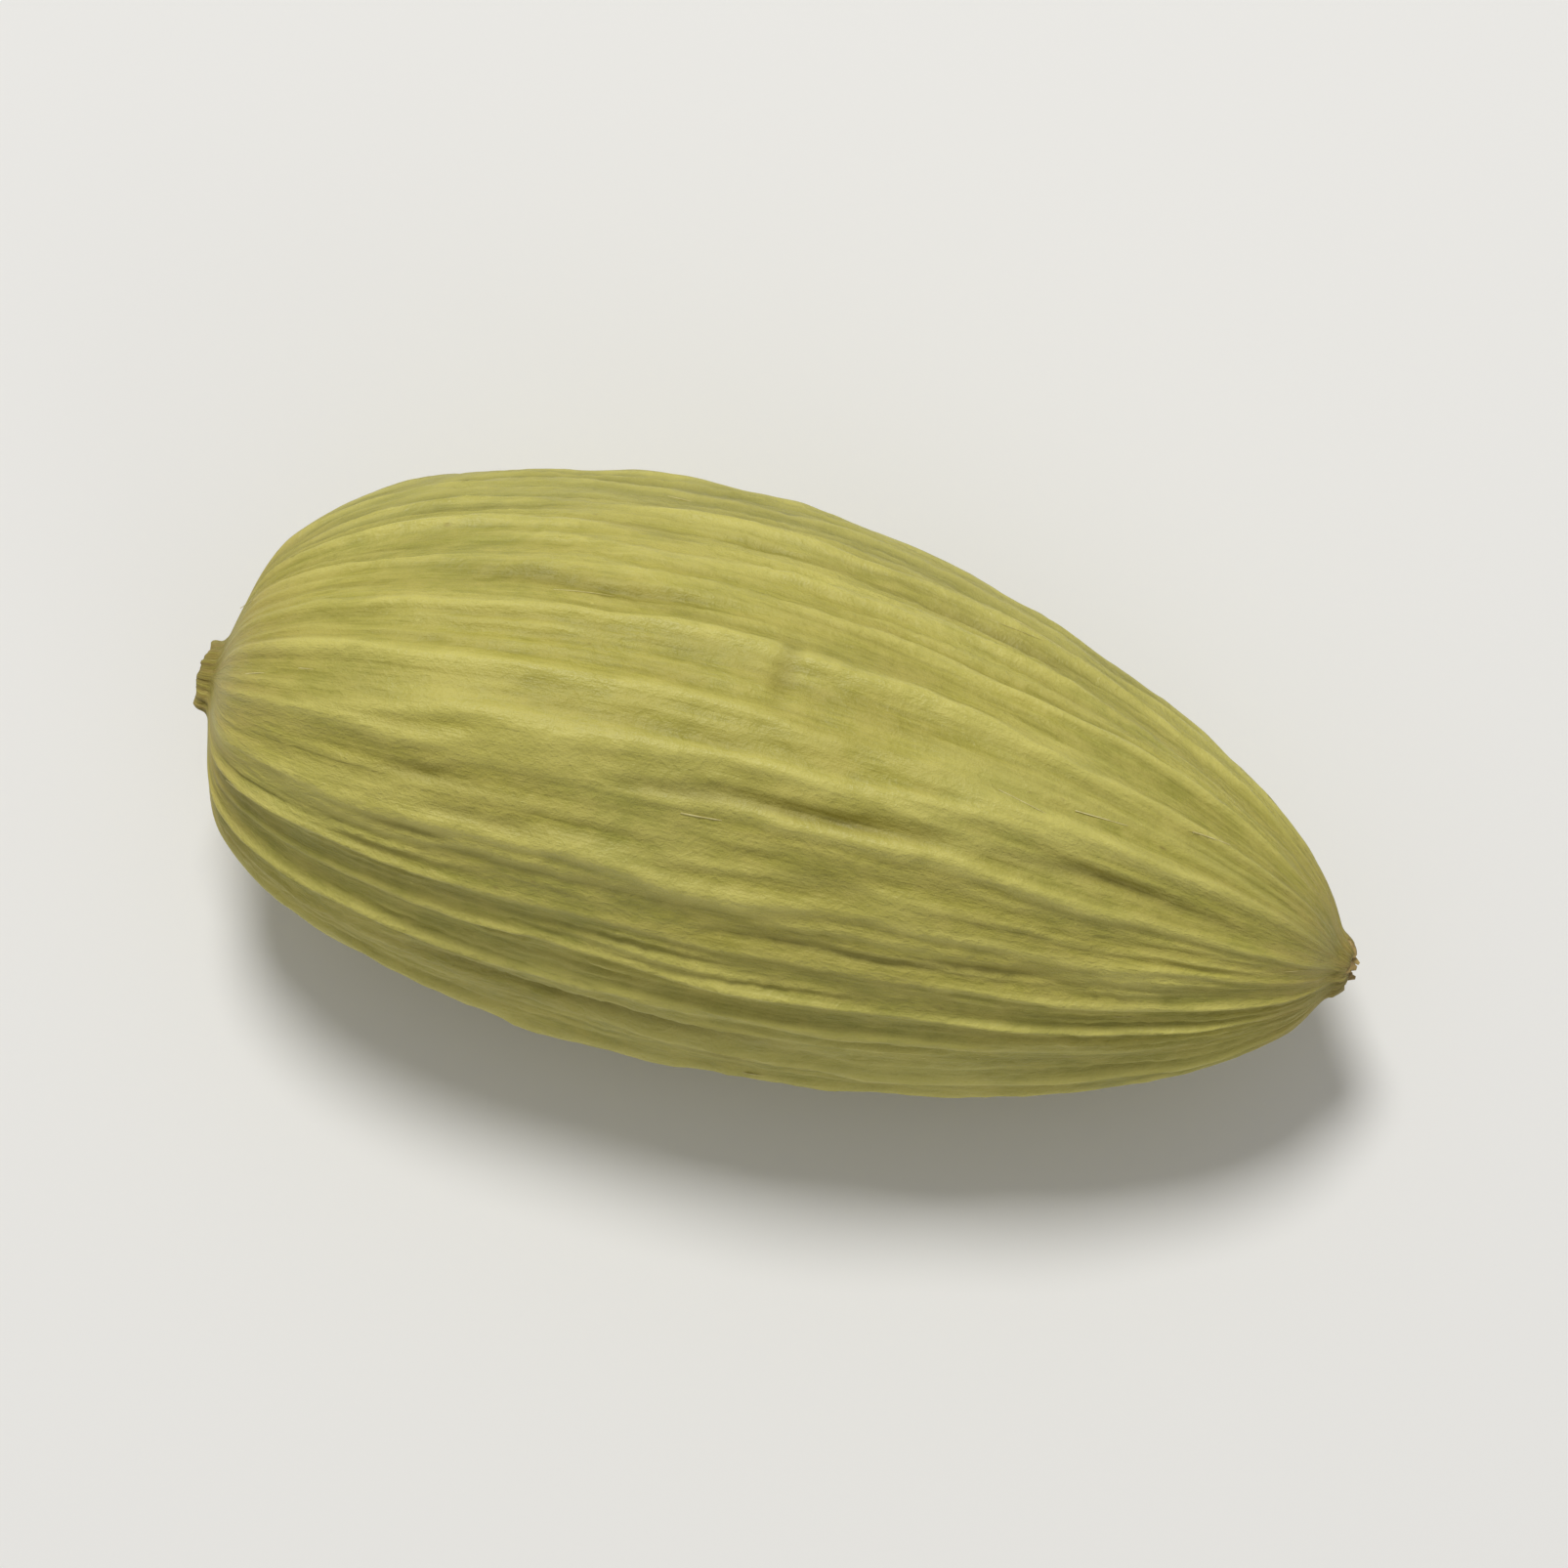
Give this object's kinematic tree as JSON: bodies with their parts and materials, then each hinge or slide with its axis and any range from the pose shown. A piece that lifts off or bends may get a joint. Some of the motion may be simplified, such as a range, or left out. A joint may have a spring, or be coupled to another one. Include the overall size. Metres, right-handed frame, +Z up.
{
  "type": "green cardamom pod",
  "caption": "Dried three-sided spindle-shaped spice pod with raised lengthwise veins, a trimmed stalk at its blunt end and a short beak at its tapered end, lying on one side.",
  "frame": {"origin": "on the surface that the pod lies on, under the middle of its bounding box", "axes": "+X along the pod from the stalk to the beak, +Z up, with one of the three keels uppermost"},
  "size_m": [0.0154, 0.0074, 0.0069],
  "materials": {
    "green_husk": "satin"
  },
  "bodies": {
    "root": {"cardamom_pod": "green_husk"}
  },
  "joints": []
}
